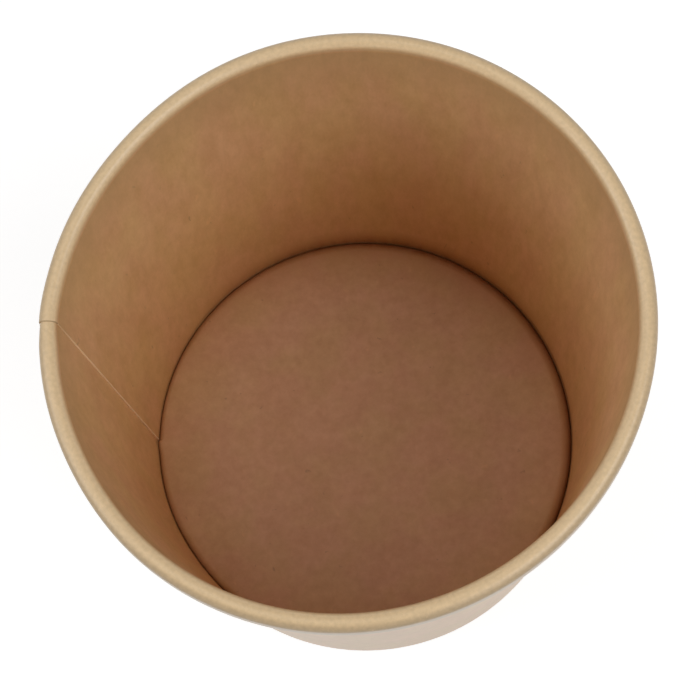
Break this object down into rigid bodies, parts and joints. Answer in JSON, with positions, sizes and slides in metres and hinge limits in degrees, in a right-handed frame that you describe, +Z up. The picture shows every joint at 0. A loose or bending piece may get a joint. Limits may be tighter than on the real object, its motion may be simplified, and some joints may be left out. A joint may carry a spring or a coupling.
{
  "type": "paper soup cup",
  "caption": "Open tapered kraft paper soup cup with a rolled rim, a lapped side seam and a recessed bottom disc in a folded base hem.",
  "frame": {"origin": "centre of the base plane, on the cup's axis", "axes": "+Z up the cup's axis, -X through the inner cut edge of the side seam, +Y to complete a right-handed frame"},
  "size_m": [0.098, 0.098, 0.0995],
  "materials": {
    "wall_board": "satin",
    "disc_board": "satin"
  },
  "bodies": {
    "root": {"side_wall": "wall_board", "bottom_disc": "disc_board"}
  },
  "joints": []
}
